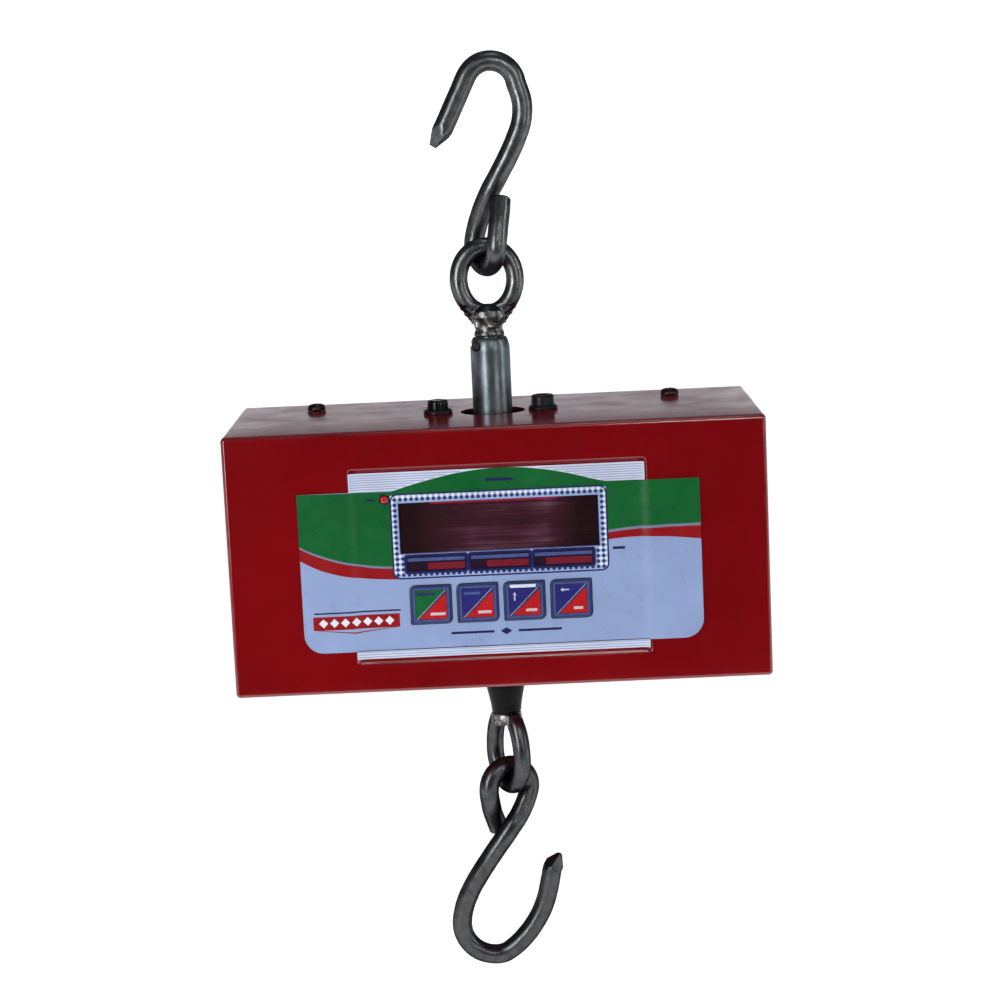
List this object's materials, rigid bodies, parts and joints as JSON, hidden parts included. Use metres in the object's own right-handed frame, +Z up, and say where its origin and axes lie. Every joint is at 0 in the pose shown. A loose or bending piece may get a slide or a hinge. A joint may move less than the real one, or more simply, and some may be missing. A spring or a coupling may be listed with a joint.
{
  "type": "crane scale",
  "caption": "Hanging electronic crane scale: a red sheet-metal box with a front display and keypad, a swivel ring and hook above it and a swivel ring and open hook below it.",
  "frame": {"origin": "the seat of the upper hook: the inner top of its crown, where the carrying bar bears on it", "axes": "+Z up along the load line, +Y to the back of the housing, +X to the right as the display is read"},
  "size_m": [0.25, 0.1119, 0.4458],
  "materials": {
    "hook_steel": "dark bent round bar with worn bright streaks",
    "ring_steel": "dark bent round bar, darkened at the weld",
    "sleeve_steel": "dark turned steel, semi-gloss",
    "stub_steel": "black turned steel, semi-gloss",
    "coupling_steel": "plain turned steel",
    "pin_steel": "ground pin",
    "cell_alloy": "machined, satin",
    "zinc_steel": "zinc plated",
    "cover_paint": "glossy dark red enamel",
    "panel_paint": "glossy dark red enamel",
    "screw_steel": "dark machine screw",
    "label_film": "printed front film, blue-grey with a green arch and a red sweep",
    "window_film": "dark red display filter",
    "key_green": "printed key, green and silver",
    "key_navy": "printed key, navy, red and silver",
    "lamp_lens": "red lamp lens",
    "board_laminate": "green circuit laminate",
    "display_black": "black component cases",
    "battery_case": "dark grey battery case",
    "fitting_black": "black panel fittings",
    "button_black": "black push button",
    "cable_black": "black cable jacket"
  },
  "bodies": {
    "upper_hook": {"upper_hook": "hook_steel"},
    "upper_ring": {"upper_ring": "ring_steel"},
    "housing": {"swivel_sleeve": "sleeve_steel", "sleeve_pin": "pin_steel", "load_cell": "cell_alloy", "cell_stud_upper": "zinc_steel", "cell_stud_lower": "zinc_steel", "jam_nut_upper": "zinc_steel", "jam_nut_lower": "zinc_steel", "lower_coupling": "coupling_steel", "coupling_pin_1": "pin_steel", "coupling_pin_2": "pin_steel", "front_cover": "cover_paint", "back_panel": "panel_paint", "cover_screw_1": "screw_steel", "cover_screw_2": "screw_steel", "cover_screw_3": "screw_steel", "cover_screw_4": "screw_steel", "hanger_bracket": "zinc_steel", "bracket_screw_1": "screw_steel", "bracket_screw_2": "screw_steel", "label_overlay": "label_film", "window_filter": "window_film", "charge_lamp": "lamp_lens", "circuit_board": "board_laminate", "standoff_1": "zinc_steel", "standoff_2": "zinc_steel", "standoff_3": "zinc_steel", "standoff_4": "zinc_steel", "battery": "battery_case", "battery_strap": "zinc_steel", "switch_body": "fitting_black", "switch_nut": "fitting_black", "charging_socket": "fitting_black", "socket_nut": "fitting_black", "cell_cable": "cable_black", "battery_lead": "cable_black", "digit_1": "display_black", "digit_2": "display_black", "digit_3": "display_black", "digit_4": "display_black", "digit_5": "display_black", "digit_6": "display_black", "indicator_1": "display_black", "indicator_2": "display_black", "indicator_3": "display_black", "tact_switch_1": "display_black", "tact_switch_2": "display_black", "tact_switch_3": "display_black", "tact_switch_4": "display_black"},
    "lower_ring": {"lower_stub": "stub_steel", "lower_ring": "ring_steel"},
    "lower_hook": {"lower_hook": "hook_steel"},
    "key_1": {"key_1": "key_green"},
    "key_2": {"key_2": "key_navy"},
    "key_3": {"key_3": "key_navy"},
    "key_4": {"key_4": "key_navy"},
    "power_button": {"power_button": "button_black"}
  },
  "joints": [
    {"name": "upper_swing", "type": "hinge", "parent": "upper_hook", "child": "upper_ring", "pos_m": [-0.0056, 0, -0.09115], "axis": [0.4067, -0.9135, 0], "range_deg": [-25, 25]},
    {"name": "upper_swivel", "type": "hinge", "parent": "upper_ring", "child": "housing", "pos_m": [-0.0056, 0, -0.1314], "axis": [0, 0, 1], "continuous": true},
    {"name": "lower_swivel", "type": "hinge", "parent": "housing", "child": "lower_ring", "pos_m": [-0.0056, 0, -0.2814], "axis": [0, 0, 1], "continuous": true},
    {"name": "lower_swing", "type": "hinge", "parent": "lower_ring", "child": "lower_hook", "pos_m": [-0.0056, 0, -0.3452], "axis": [0.4894, -0.8721, 0], "range_deg": [-60, 60]},
    {"name": "key_1_press", "type": "slide", "parent": "housing", "child": "key_1", "axis": [0, 1, 0], "range_m": [0, 0.0005], "stiffness_N_per_m": 1200, "springref_m": -0.0004},
    {"name": "key_2_press", "type": "slide", "parent": "housing", "child": "key_2", "axis": [0, 1, 0], "range_m": [0, 0.0005], "stiffness_N_per_m": 1200, "springref_m": -0.0004},
    {"name": "key_3_press", "type": "slide", "parent": "housing", "child": "key_3", "axis": [0, 1, 0], "range_m": [0, 0.0005], "stiffness_N_per_m": 1200, "springref_m": -0.0004},
    {"name": "key_4_press", "type": "slide", "parent": "housing", "child": "key_4", "axis": [0, 1, 0], "range_m": [0, 0.0005], "stiffness_N_per_m": 1200, "springref_m": -0.0004},
    {"name": "power_press", "type": "slide", "parent": "housing", "child": "power_button", "axis": [0, 0, -1], "range_m": [0, 0.0025], "stiffness_N_per_m": 800, "springref_m": -0.0008}
  ]
}
